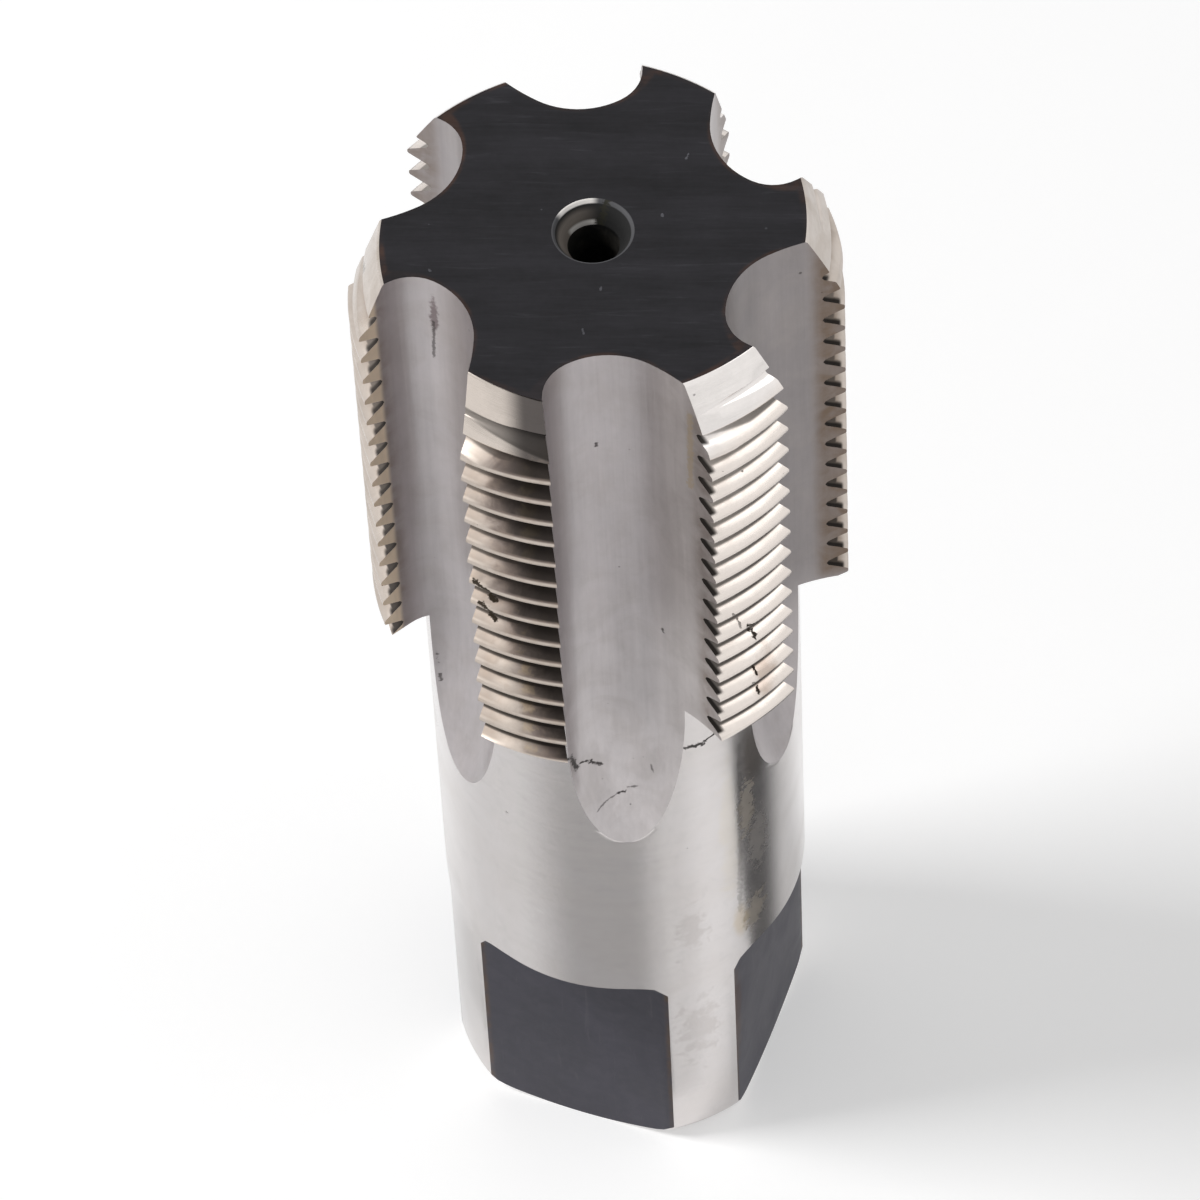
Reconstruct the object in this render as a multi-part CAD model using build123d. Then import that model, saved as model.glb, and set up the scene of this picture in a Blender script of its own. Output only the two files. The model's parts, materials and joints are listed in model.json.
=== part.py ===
from build123d import *
from math import ceil, degrees, floor, radians, tan
import os

# Hand tap for a parallel 1 inch pipe thread, ground from one bar of tool steel.
# Lengths are in millimetres. The tap stands on the end of its driving square with the cutting
# end up. The origin is the centre of the square's end, and the flats face along X and Y.

# Whole tap
overall_length = 93.0
shank_diameter = 26.35
shank_end_chamfer = 1.0

# Pipe thread: 55 degree form, right-hand, no taper
major_diameter = 33.249
pitch = 2.309
flank_angle = 27.5
thread_depth = 1.479
crest_width = 0.385
root_width = 0.385
thread_length = 38.3
# Depth of a groove's middle under the front face, where it crosses the +X axis
first_groove_depth = 2.06

# Lead: a leaning cone chamfers every land at the front, so that it falls away behind its cutting edge
lead_cone_diameter = 28.28
lead_cone_angle = 46.0
lead_cone_offset = 1.32
lead_cone_lean = 17.75

# Flutes, seen from the cutting end: a flat cutting face, a round floor, an open heel side
flute_count = 6
first_flute_angle = 53.2
core_diameter = 20.8
flute_floor_radius = 5.4
flute_floor_hook_arc = 27.0
flute_hook_radius = 3.0
flute_hook_arc = 68.0
flute_floor_heel_arc = 35.0
flute_heel_radius = 14.0
# The flutes run out on to the shank as the milling cutter left them
flute_cutter_diameter = 80.0
flute_runout_arc = 50.0

# Driving square
square_across_flats = 22.0
square_length = 20.2
square_corner_radius = 1.2

# Centre holes in both ends
centre_hole_diameter = 3.5
centre_hole_depth = 7.0
centre_hole_mouth = 5.28
centre_hole_cone_angle = 60.0

# Room that a cutter has past the metal that it cuts
overrun = 3.0

major_radius = major_diameter / 2
core_radius = core_diameter / 2
shank_radius = shank_diameter / 2
shoulder_height = overall_length - thread_length
flute_spacing = 360 / flute_count


def turned_blank():
    """Bar turned to the thread's outer diameter at the top and to the shank below it."""
    outline = Polyline(
        (0, 0),
        (shank_radius - shank_end_chamfer, 0),
        (shank_radius, shank_end_chamfer),
        (shank_radius, shoulder_height),
        (major_radius, shoulder_height),
        (major_radius, overall_length),
        (0, overall_length),
        close=True,
    )
    return revolve(Plane.XZ * make_face(outline), Axis.Z)


def flute_section():
    """Section of one flute, with its floor on the +X axis and its mouth open past the crests."""
    floor_point = (core_radius, 0)
    floor_to_hook = JernArc(floor_point, (0, -1), flute_floor_radius, flute_floor_hook_arc)
    hook = JernArc(floor_to_hook @ 1, floor_to_hook % 1, flute_hook_radius, flute_hook_arc)
    floor_to_heel = JernArc(floor_point, (0, 1), flute_floor_radius, -flute_floor_heel_arc)
    mouth_x = major_radius + overrun
    heel_arc = degrees((mouth_x - core_radius) / flute_heel_radius)
    heel = JernArc(floor_to_heel @ 1, floor_to_heel % 1, flute_heel_radius, -heel_arc)
    face_length = (mouth_x - (hook @ 1).X) / (hook % 1).X
    cutting_face = Line(hook @ 1, hook @ 1 + hook % 1 * face_length)
    mouth = Polyline(cutting_face @ 1, (mouth_x, (heel @ 1).Y), heel @ 1)
    return make_face([floor_to_hook, hook, cutting_face, mouth, heel, floor_to_heel])


def flute_cutters():
    """Straight flutes above the shoulder, and their round run-out below it."""
    section = Pos(0, 0, shoulder_height) * flute_section()
    straight = extrude(section, thread_length + overrun)
    arbor = Axis((core_radius + flute_cutter_diameter / 2, 0, shoulder_height), (0, -1, 0))
    runout = revolve(section, arbor, flute_runout_arc)
    cutters = []
    for number in range(flute_count):
        turn = Rot(0, 0, first_flute_angle + number * flute_spacing)
        cutters += [turn * straight, turn * runout]
    return cutters


def land_angle(number):
    """Middle of a land, halfway between two flutes."""
    return first_flute_angle + (number + 0.5) * flute_spacing


def lead_cutters():
    """Cone round each land's lead, leaning so that the heel lies lower than the cutting edge."""
    taper = tan(radians(lead_cone_angle / 2))
    front_radius = lead_cone_diameter / 2
    outer = major_radius + overrun
    outline = Polyline(
        (front_radius - overrun * taper, overrun),
        (outer, overrun),
        (outer, -(outer - front_radius) / taper),
        close=True,
    )
    ring = revolve(Plane.XZ * make_face(outline), Axis.Z, flute_spacing)
    lean = Pos(0, -lead_cone_offset, overall_length) * Rot(lead_cone_lean, 0, 0)
    cutter = lean * Rot(0, 0, -flute_spacing / 2) * ring
    return [Rot(0, 0, land_angle(number)) * cutter for number in range(flute_count)]


def groove_cutter():
    """Stretch of the thread groove across one land, with its middle on the +X axis."""
    sweep_angle = 0.75 * flute_spacing
    rise = pitch * sweep_angle / 360
    clear = crest_width / 3
    root_radius = major_radius - thread_depth
    mouth_width = root_width + 2 * (thread_depth + clear) * tan(radians(flank_angle))
    outline = Polyline(
        (root_radius, -root_width / 2),
        (major_radius + clear, -mouth_width / 2),
        (major_radius + clear, mouth_width / 2),
        (root_radius, root_width / 2),
        close=True,
    )
    path = Helix(pitch, rise, major_radius)
    groove = sweep(Plane.XZ * make_face(outline), path, is_frenet=True)
    return Rot(0, 0, -sweep_angle / 2) * Pos(0, 0, -rise / 2) * groove


def groove_cutters():
    """All turns of the right-hand groove, cut land by land: one pitch higher for every turn round."""
    groove = groove_cutter()
    cutters = []
    for number in range(flute_count):
        angle = land_angle(number)
        start = overall_length - first_groove_depth + pitch * angle / 360
        highest = floor((overall_length + pitch / 2 - start) / pitch)
        lowest = ceil((shoulder_height - pitch / 2 - start) / pitch)
        for turn in range(lowest, highest + 1):
            cutters.append(Rot(0, 0, angle) * Pos(0, 0, start + turn * pitch) * groove)
    return cutters


def square_cutters():
    """Four milled steps that leave the driving square, with a rounded inner corner."""
    depth = shank_radius - square_across_flats / 2 + overrun
    block = Box(
        depth,
        2 * (shank_radius + overrun),
        square_length + overrun,
        align=(Align.MIN, Align.CENTER, Align.MAX),
    )
    inner_corner = block.edges().filter_by(Axis.Y).group_by(Axis.Z)[-1].sort_by(Axis.X)[0]
    step = Pos(square_across_flats / 2, 0, square_length) * fillet(inner_corner, square_corner_radius)
    return [Rot(0, 0, 90 * number) * step for number in range(4)]


def centre_hole():
    """Drilled hole with a conical mouth, its mouth at height 0 and its bottom above it."""
    taper = tan(radians(centre_hole_cone_angle / 2))
    mouth_depth = (centre_hole_mouth - centre_hole_diameter) / 2 / taper
    outline = Polyline(
        (0, -overrun),
        (centre_hole_mouth / 2 + overrun * taper, -overrun),
        (centre_hole_diameter / 2, mouth_depth),
        (centre_hole_diameter / 2, centre_hole_depth),
        (0, centre_hole_depth + centre_hole_diameter / 2 * taper),
        close=True,
    )
    return revolve(Plane.XZ * make_face(outline), Axis.Z)


def pipe_tap():
    """The whole tap."""
    tap = turned_blank()
    tap -= flute_cutters()
    tap -= lead_cutters()
    tap -= groove_cutters()
    tap -= square_cutters()
    tap -= centre_hole()
    tap -= Pos(0, 0, overall_length) * Rot(180, 0, 0) * centre_hole()
    return tap


os.makedirs("parts", exist_ok=True)
export_step(pipe_tap(), "parts/pipe_tap.step")
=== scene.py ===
import json
from math import acos, asin, atan2, ceil, cos, floor, pi, radians, sin, sqrt, tan

import bmesh
import bpy
from mathutils import Matrix, Vector


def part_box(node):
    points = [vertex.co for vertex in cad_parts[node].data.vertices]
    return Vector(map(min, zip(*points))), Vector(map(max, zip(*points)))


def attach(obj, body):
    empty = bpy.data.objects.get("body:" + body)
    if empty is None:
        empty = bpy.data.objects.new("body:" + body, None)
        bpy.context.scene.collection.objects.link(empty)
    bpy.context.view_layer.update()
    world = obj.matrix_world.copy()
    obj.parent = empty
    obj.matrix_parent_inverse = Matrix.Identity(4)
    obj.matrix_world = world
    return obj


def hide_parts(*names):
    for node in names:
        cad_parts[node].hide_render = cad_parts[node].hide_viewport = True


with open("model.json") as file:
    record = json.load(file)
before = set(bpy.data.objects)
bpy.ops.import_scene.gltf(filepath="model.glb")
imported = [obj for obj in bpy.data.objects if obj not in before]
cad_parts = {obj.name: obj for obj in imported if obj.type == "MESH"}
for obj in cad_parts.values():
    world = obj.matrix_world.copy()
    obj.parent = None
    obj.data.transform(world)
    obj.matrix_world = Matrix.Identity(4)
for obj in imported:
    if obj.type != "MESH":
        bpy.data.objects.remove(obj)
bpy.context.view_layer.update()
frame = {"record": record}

# Lengths are in millimetres and angles in degrees. The finished mesh is scaled to metres.
MM = 0.001
mounts = {mount["name"]: mount for mount in frame["record"]["mounts"]}
overall_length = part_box("pipe_tap")[1].z / MM
shank_radius = mounts["shank"]["dims"]["r_mm"]
square_half = mounts["driving_flat"]["pos_m"][0] / MM

# Pipe thread: 55 degree form, right-hand
major_radius = 33.249 / 2
pitch = 2.309
flank_angle = 27.5
thread_depth = 1.479
root_width = 0.385
thread_length = 38.3
first_groove_depth = 2.06
crest_rounding = 0.08
root_rounding = 0.15

# Lead: a cone that leans towards the cutting edge as it goes down
lead_cone_radius = 28.28 / 2
lead_cone_angle = 46.0
lead_cone_offset = 1.32
lead_cone_lean = 17.75
lead_heel_radius = 13.85
front_edge = 0.1

# Flutes: a flat cutting face over a small hook, a round floor and an open heel wall
flute_count = 6
first_flute_angle = 53.2
core_radius = 20.8 / 2
floor_radius = 5.4
hook_start = -27.0
hook_radius = 3.0
hook_arc = 68.0
heel_start = 35.0
heel_radius = 14.0
cutter_radius = 40.0

# Driving square, and the rounded edge of its end as radius and height
square_length = 21.15
square_corner = 1.7
end_edge = ((11.0, 0.0), (12.4, 0.6), (12.85, 0.95), (13.1, 1.3), (shank_radius, 1.6))
flat_half_angle = acos(square_half / shank_radius)

# Centre holes, each with a cone, a drilled wall and the point that the drill leaves
hole_radius = mounts["front_centre_hole"]["dims"]["r_mm"]
hole_depth = 7.0
hole_mouth = 5.28 / 2
hole_cone_depth = (hole_mouth - hole_radius) / tan(radians(60.0 / 2))
hole_tip = hole_depth + hole_radius * tan(radians(30.0))
hole_rim = 0.12

# How finely the mesh follows the forms. The thread's profile has one place for each of its rows.
rows_per_pitch = 12
columns_across_land = 12
steps_along_shank = 20
hole_columns = 72
merge_distance = 0.0005
sharp_edge_angle = 33.0

shoulder_height = overall_length - thread_length
root_radius = major_radius - thread_depth
flute_spacing = 360 / flute_count
flank_slope = tan(radians(flank_angle))
lead_taper = tan(radians(lead_cone_angle / 2))
floor_centre = core_radius + floor_radius


class Field:
    """A number that a node carries, so that a rule can be written as a sum."""

    def __init__(self, tree, socket):
        self.tree = tree
        self.socket = socket

    def math(self, operation, *others):
        node = self.tree.nodes.new("ShaderNodeMath")
        node.operation = operation
        for socket, value in zip(node.inputs, (self, *others)):
            connect(self.tree, value, socket)
        return Field(self.tree, node.outputs[0])

    def __add__(self, other):
        return self.math("ADD", other)

    def __sub__(self, other):
        return self.math("SUBTRACT", other)

    def __rsub__(self, other):
        return self.math("MULTIPLY", -1.0).math("ADD", other)

    def __mul__(self, other):
        return self.math("MULTIPLY", other)

    def __truediv__(self, other):
        return self.math("DIVIDE", other)

    def __mod__(self, other):
        return self.math("FLOORED_MODULO", other)

    def wrap(self, half):
        """The number brought between -half and half by whole turns."""
        return self.math("WRAP", half, -half)

    def clamp(self, low, high):
        return self.math("MAXIMUM", low).math("MINIMUM", high)

    def least(self, *others):
        result = self
        for other in others:
            result = result.math("MINIMUM", other)
        return result

    def most(self, *others):
        result = self
        for other in others:
            result = result.math("MAXIMUM", other)
        return result

    def rise(self, start, end):
        """0 below start, 1 above end and a smooth rise between them, or a fall where end is less."""
        node = add_node(self.tree, "ShaderNodeMapRange", {
            "Value": self, "From Min": start, "From Max": end,
        }, interpolation_type="SMOOTHSTEP")
        return Field(self.tree, node.outputs["Result"])

    __radd__ = __add__
    __rmul__ = __mul__


def connect(tree, value, socket):
    """Links a socket to what a node carries, or sets a plain value on it."""
    if isinstance(value, Field):
        tree.links.new(value.socket, socket)
    elif isinstance(value, bpy.types.NodeSocket):
        tree.links.new(value, socket)
    else:
        socket.default_value = value


def add_node(tree, kind, inputs=None, **settings):
    """A node with its settings, and its inputs by name or number."""
    node = tree.nodes.new(kind)
    for name, value in settings.items():
        setattr(node, name, value)
    for name, value in (inputs or {}).items():
        connect(tree, value, node.inputs[name])
    return node


def parts_of(tree, vector):
    """The three numbers of a vector."""
    node = add_node(tree, "ShaderNodeSeparateXYZ", {0: vector})
    return [Field(tree, socket) for socket in node.outputs]


def vector_of(tree, x, y, z):
    return add_node(tree, "ShaderNodeCombineXYZ", {0: x, 1: y, 2: z}).outputs[0]


def add_object(name, data):
    made = bpy.data.objects.new(name, data)
    bpy.context.collection.objects.link(made)
    return made


def mesh_from(name, bm, materials):
    """The mesh that bmesh has built, with its materials."""
    mesh = bpy.data.meshes.new(name)
    bm.to_mesh(mesh)
    bm.free()
    for material in materials:
        mesh.materials.append(material)
    return mesh


def steps(start, end, count):
    """Evenly spaced numbers from start up to, but not with, end."""
    return [start + (end - start) * step / count for step in range(count)]


def polar(radius, angle):
    return Vector((radius * cos(angle), radius * sin(angle)))


def turned(point, angle):
    """A point of a section turned about the tap's axis."""
    return point.to_2d() @ Matrix.Rotation(-angle, 2)


# The flute's section, in its own frame with the middle of the floor on +X

def floor_point(turn):
    return Vector((core_radius + floor_radius * (1 - cos(turn)), floor_radius * sin(turn)))


class Wall:
    """A side of the flute. It starts with an arc that goes on from the floor's arc."""

    def __init__(self, start, radius):
        self.turn = radians(start)
        self.radius = radius
        foot = floor_point(self.turn)
        self.foot = foot.length
        self.centre = foot + radius * Vector((cos(self.turn), -sin(self.turn)))
        self.centre_distance = self.centre.length
        self.centre_angle = atan2(self.centre.y, self.centre.x)

    def off_centre(self, distance):
        """Angle between the arc's centre and its point at a distance from the tap's axis."""
        reach = distance**2 + self.centre_distance**2 - self.radius**2
        return acos(reach / (2 * distance * self.centre_distance))


class Heel(Wall):
    """The open wall behind a land: one arc from the floor outwards."""

    def angle(self, distance):
        """Where the wall stands at a distance from the tap's axis."""
        return self.centre_angle + self.off_centre(distance)


class CuttingFace(Wall):
    """The wall under a land's cutting edge: a small arc, then a flat face out to the crests."""

    def __init__(self, start, radius, arc):
        super().__init__(start, radius)
        self.direction = radians(arc) - self.turn - pi
        across = Vector((cos(self.direction), sin(self.direction)))
        top = self.centre + radius * across
        self.distance = top.dot(across)
        self.flat_from = top.length

    def angle(self, distance):
        """Where the wall stands at a distance from the tap's axis."""
        if distance > self.flat_from:
            return self.direction + acos(self.distance / distance)
        return self.centre_angle - self.off_centre(distance)


def wall_points(wall, start, end, count):
    return [polar(distance, wall.angle(distance)) for distance in steps(start, end, count)]


hook = CuttingFace(hook_start, hook_radius, hook_arc)
heel = Heel(heel_start, heel_radius)
land_start = heel.angle(major_radius)
land_end = radians(flute_spacing) + hook.angle(major_radius)


def hook_floor():
    """From the cutting face's corner with the shank to the middle of the floor."""
    wall = wall_points(hook, shank_radius, hook.foot, 5)
    return wall + [floor_point(turn) for turn in steps(hook.turn, 0, 5)]


def heel_floor():
    """From the middle of the floor to the heel wall's corner with the shank."""
    floor_arc = [floor_point(turn) for turn in steps(0, heel.turn, 7)]
    return floor_arc + wall_points(heel, heel.foot, shank_radius, 3)


def sector_outline():
    """From one flute's middle over the land to the next flute's: point, place across, on the land."""
    up = wall_points(heel, shank_radius, root_radius, 4) + wall_points(heel, root_radius, major_radius, 4)
    down = wall_points(hook, major_radius, root_radius, 4) + wall_points(hook, root_radius, shank_radius, 4)
    rows = [(point, 0.0, 0.0) for point in heel_floor() + up]
    for across in steps(0, 1, columns_across_land):
        rows.append((polar(major_radius, land_start + (land_end - land_start) * across), across, 1.0))
    for number, point in enumerate(down + hook_floor()):
        rows.append((turned(point, radians(flute_spacing)), 1.0, float(number == 0)))
    return rows


def section_mesh():
    """The closed outline of lands and flutes, with each point's place across its land."""
    rows = sector_outline()
    points, across, land = [], [], []
    for flute in range(flute_count):
        angle = radians(first_flute_angle + flute * flute_spacing)
        points += [turned(point, angle).to_3d() for point, _, _ in rows]
        across += [place for _, place, _ in rows]
        land += [flag for _, _, flag in rows]
    count = len(points)
    mesh = bpy.data.meshes.new("section")
    mesh.from_pydata(points, [(number, (number + 1) % count) for number in range(count)], [])
    mesh.attributes.new("across", "FLOAT", "POINT").data.foreach_set("value", across)
    mesh.attributes.new("land", "FLOAT", "POINT").data.foreach_set("value", land)
    return mesh


# The cutting end, as a grid that a tree of nodes wraps round the tap

def cutting_end_sizes():
    """The named sizes of the cutting end's tree."""
    land_middle = (land_start + land_end) / 2
    on_first_land = first_flute_angle + land_middle * 180 / pi
    groove = overall_length - first_groove_depth + pitch * on_first_land / 360
    first_row = groove - pitch * ceil((groove - shoulder_height) / pitch + 0.5)
    return {
        "Rows": float(ceil((overall_length - first_row) / pitch * rows_per_pitch) + rows_per_pitch),
        "First row": first_row,
        "Front": overall_length,
        "Shoulder": shoulder_height,
        "Flute spacing": radians(flute_spacing),
        "First flute angle": radians(first_flute_angle),
        "Land middle": land_middle,
        "Pitch": pitch,
        "Thread depth": thread_depth,
        "Root radius": root_radius,
        "Half root": root_width / 2,
        "Flank slope": flank_slope,
        "Root rounding": root_rounding,
        "Crest rounding": crest_rounding,
        "Lead cone radius": lead_cone_radius,
        "Lead cone taper": lead_taper,
        "Lead cone offset": lead_cone_offset,
        "Lead cone lean": radians(lead_cone_lean),
        "Front edge": front_edge,
        "Cutting face direction": hook.direction,
        "Cutting face distance": hook.distance,
        "Heel centre distance": heel.centre_distance,
        "Heel centre angle": heel.centre_angle,
        "Heel radius": heel_radius,
        "Merge distance": merge_distance,
    }


def cutting_end_tree():
    """Sweeps the section up the tap row by row along the thread, and cuts thread and lead into it."""
    tree = bpy.data.node_groups.new("cutting end", "GeometryNodeTree")
    tree.interface.new_socket("Geometry", in_out="INPUT", socket_type="NodeSocketGeometry")
    tree.interface.new_socket("Geometry", in_out="OUTPUT", socket_type="NodeSocketGeometry")
    for name in cutting_end_sizes():
        tree.interface.new_socket(name, in_out="INPUT", socket_type="NodeSocketFloat")
    for name in ("Land steel", "Flute steel"):
        tree.interface.new_socket(name, in_out="INPUT", socket_type="NodeSocketMaterial")
    start = tree.nodes.new("NodeGroupInput")
    value = {name: Field(tree, start.outputs[name]) for name in cutting_end_sizes()}
    section = start.outputs["Geometry"]

    # A plain grid, with a column for every point of the section and as many rows in each pitch
    points = add_node(tree, "GeometryNodeAttributeDomainSize", {"Geometry": section}, component="MESH")
    columns = Field(tree, points.outputs["Point Count"]) + 1
    rows = value["Rows"]
    grid = add_node(tree, "GeometryNodeMeshGrid", {
        "Size X": columns - 1, "Size Y": rows - 1, "Vertices X": columns, "Vertices Y": rows,
    })
    position = tree.nodes.new("GeometryNodeInputPosition").outputs[0]
    grid_x, grid_y, _ = parts_of(tree, position)
    column = (grid_x + (columns - 1) / 2).math("ROUND")
    row = (grid_y + (rows - 1) / 2).math("ROUND")

    def from_section(field, data_type):
        sample = add_node(tree, "GeometryNodeSampleIndex", {
            "Geometry": section, "Value": field, "Index": column % (columns - 1),
        }, data_type=data_type, domain="POINT")
        return sample.outputs["Value"]

    def attribute(name):
        node = add_node(tree, "GeometryNodeInputNamedAttribute", {"Name": name}, data_type="FLOAT")
        return node.outputs[0]

    x, y, _ = parts_of(tree, from_section(position, "FLOAT_VECTOR"))
    full_radius = (x * x + y * y).math("SQRT")
    across = Field(tree, from_section(attribute("across"), "FLOAT"))

    # Which land the point belongs to, and how far it lies from the middle of that land
    spacing = value["Flute spacing"]
    turn = (y.math("ARCTAN2", x) - value["First flute angle"]) % (2 * pi)
    flute = (turn / spacing).math("FLOOR")
    beside_flute = turn - flute * spacing
    quarter = spacing / 4
    off_middle = (beside_flute - value["Land middle"] + quarter).math("PINGPONG", spacing / 2) - quarter
    climb = off_middle * value["Pitch"] / (2 * pi)

    # The lead's cone leans, so its radius round the tap's axis is the root of a square
    round_land = beside_flute - spacing / 2
    land_sine, land_cosine = round_land.math("SINE"), round_land.math("COSINE")
    lean_sine, lean_cosine = value["Lead cone lean"].math("SINE"), value["Lead cone lean"].math("COSINE")
    taper, offset = value["Lead cone taper"], value["Lead cone offset"]
    over_y = land_sine * lean_cosine
    over_cone = taper * lean_sine * land_sine
    square_term = land_cosine * land_cosine + over_y * over_y - over_cone * over_cone

    def lead_radius(depth):
        start_y = offset * lean_cosine - depth * lean_sine
        start_cone = value["Lead cone radius"] + taper * (offset * lean_sine + depth * lean_cosine)
        middle_term = over_y * start_y - over_cone * start_cone
        last_term = start_y * start_y - start_cone * start_cone
        root = (middle_term * middle_term - square_term * last_term).math("SQRT")
        return (root - middle_term) / square_term

    # The row's place in its groove, and the corners of the thread form at this height
    step = (row - flute * (rows_per_pitch / flute_count)).wrap(rows_per_pitch / 2)
    side = step.math("SIGN")
    groove = value["First row"] + (row - step) * value["Pitch"] / rows_per_pitch + climb
    groove_depth = value["Front"] - groove
    above, below = lead_radius(groove_depth - 0.5), lead_radius(groove_depth + 0.5)
    slope = value["Flank slope"]
    flank_sine = slope.math("ARCTANGENT").math("SINE")
    half_root = value["Half root"]
    full_corner = half_root + value["Thread depth"] * slope
    above_root = (above + below) / 2 - value["Root radius"]
    corner = (above_root + half_root / slope) / (side * (below - above) + slope.math("POWER", -1.0))
    root_end = half_root + value["Root rounding"] * flank_sine
    corner = corner.clamp(root_end + value["Crest rounding"], full_corner)
    crest_start = corner - value["Crest rounding"] * flank_sine
    places = [
        0.0, half_root - value["Root rounding"], root_end, (root_end + crest_start) / 2,
        crest_start, corner + value["Crest rounding"], value["Pitch"] / 2,
    ]
    choice = add_node(tree, "GeometryNodeIndexSwitch", data_type="FLOAT")
    for _ in range(len(places) - 2):
        choice.index_switch_items.new()
    connect(tree, step.math("ABSOLUTE"), choice.inputs["Index"])
    for number, distance in enumerate(places):
        connect(tree, distance, choice.inputs[str(number)])
    height = groove + side * Field(tree, choice.outputs[0])
    front = value["Front"]
    height = height.clamp(value["Shoulder"], front - value["Front edge"])
    last = row.math("COMPARE", rows - 1, 0.5)
    height = height + (front - height) * last

    # The metal that the thread, the lead and the broken front edge leave
    turns = (height - climb - value["First row"]) / value["Pitch"] - flute / flute_count
    off_groove = turns.wrap(0.5).math("ABSOLUTE") * value["Pitch"]
    thread = value["Root radius"] + ((off_groove - half_root) / slope).clamp(0.0, value["Thread depth"])
    depth = front - height
    cone = lead_radius(depth) - (value["Front edge"] - depth).math("MAXIMUM", 0.0)
    radius = full_radius.least(thread, cone)

    heel_distance, heel_arc = value["Heel centre distance"], value["Heel radius"]
    reach = radius * radius + heel_distance * heel_distance - heel_arc * heel_arc
    heel_wall = value["Heel centre angle"] + (reach / (radius * heel_distance * 2.0)).math("ARCCOSINE")
    face_opening = (value["Cutting face distance"] / radius).math("ARCCOSINE")
    cutting_face = value["Cutting face direction"] + face_opening + spacing
    angle = value["First flute angle"] + flute * spacing + heel_wall + (cutting_face - heel_wall) * across
    cut = (full_radius - radius).math("GREATER_THAN", 1e-4)
    new_x = x + (radius * angle.math("COSINE") - x) * cut
    new_y = y + (radius * angle.math("SINE") - y) * cut

    mesh = grid.outputs["Mesh"]
    for name in ("land", "across"):
        mesh = add_node(tree, "GeometryNodeStoreNamedAttribute", {
            "Geometry": mesh, "Name": name, "Value": from_section(attribute(name), "FLOAT"),
        }, data_type="FLOAT", domain="POINT").outputs[0]
    on_land = Field(tree, attribute("land")).math("GREATER_THAN", 0.75)
    for kind, inputs in (
        ("SetPosition", {"Position": vector_of(tree, new_x, new_y, height)}),
        ("MergeByDistance", {"Distance": value["Merge distance"]}),
        ("RealizeInstances", {}),
        ("SetMaterial", {"Material": start.outputs["Flute steel"]}),
        ("SetMaterial", {"Material": start.outputs["Land steel"], "Selection": on_land}),
    ):
        mesh = add_node(tree, "GeometryNode" + kind, {"Geometry": mesh, **inputs}).outputs[0]
    end = tree.nodes.new("NodeGroupOutput")
    tree.links.new(mesh, end.inputs["Geometry"])
    return tree


def cutting_end(finishes):
    """The swept and threaded sides of the cutting end as a plain mesh, in millimetres."""
    tree = cutting_end_tree()
    carrier = add_object("section", section_mesh())
    modifier = carrier.modifiers.new("cutting end", "NODES")
    modifier.node_group = tree
    values = dict(cutting_end_sizes())
    values["Land steel"] = finishes["ground thread"]
    values["Flute steel"] = finishes["milled flute"]
    for item in tree.interface.items_tree:
        if item.in_out == "INPUT" and item.name in values:
            modifier[item.identifier] = values[item.name]
    bpy.context.view_layer.update()
    ready = carrier.evaluated_get(bpy.context.evaluated_depsgraph_get())
    mesh = bpy.data.meshes.new_from_object(ready)
    bpy.data.objects.remove(carrier)
    return mesh


# The shank, with the flutes' run-outs, the driving square and the centre hole in its end

def runout_outline(depth):
    """A flute's outline on the shank, from corner to corner, at a depth under the shoulder."""
    flute = hook_floor() + heel_floor() + [polar(shank_radius, heel.angle(shank_radius))]
    arbor = core_radius + cutter_radius
    moved = [Vector((arbor - sqrt((arbor - point.x)**2 - depth**2), point.y)) for point in flute]
    middle = len(hook_floor())

    def corner(direction):
        number = middle
        while 0 < number < len(moved) - 1 and moved[number].length < shank_radius:
            number += direction
        inner, outer = moved[number - direction].length, moved[number].length
        if number == middle or outer <= shank_radius:
            return number
        return number - direction * (outer - shank_radius) / (outer - inner)

    first, last = corner(-1), corner(1)
    outline = []
    for place in steps(first, last, len(moved) - 1) + [last]:
        number = min(floor(place), len(moved) - 2)
        outline.append(moved[number].lerp(moved[number + 1], place - number))
    return outline


def shank_ring(depth):
    """Outline of the whole shank at a depth under the shoulder."""
    flute = runout_outline(depth)
    first, last = flute[0], flute[-1]
    land_from = atan2(last.y, last.x)
    land_to = atan2(first.y, first.x) + radians(flute_spacing)
    land = [polar(shank_radius, angle) for angle in steps(land_from, land_to, steps_along_shank)[1:]]
    ring = []
    for number in range(flute_count):
        angle = radians(first_flute_angle + number * flute_spacing)
        ring += [turned(point, angle) for point in flute + land]
    return ring


def end_height(radius):
    """Height of the end's rounded edge at a distance from the axis."""
    for (inner, low), (outer, high) in zip(end_edge, end_edge[1:]):
        if radius <= outer:
            return low + (high - low) * (radius - inner) / (outer - inner)
    return end_edge[-1][1]


def nearest_flat(angle):
    """Angle of the middle of the nearest flat."""
    return round(angle / (pi / 2)) * pi / 2


def meets_flat(angle):
    return abs(angle - nearest_flat(angle)) <= flat_half_angle + 1e-6


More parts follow.
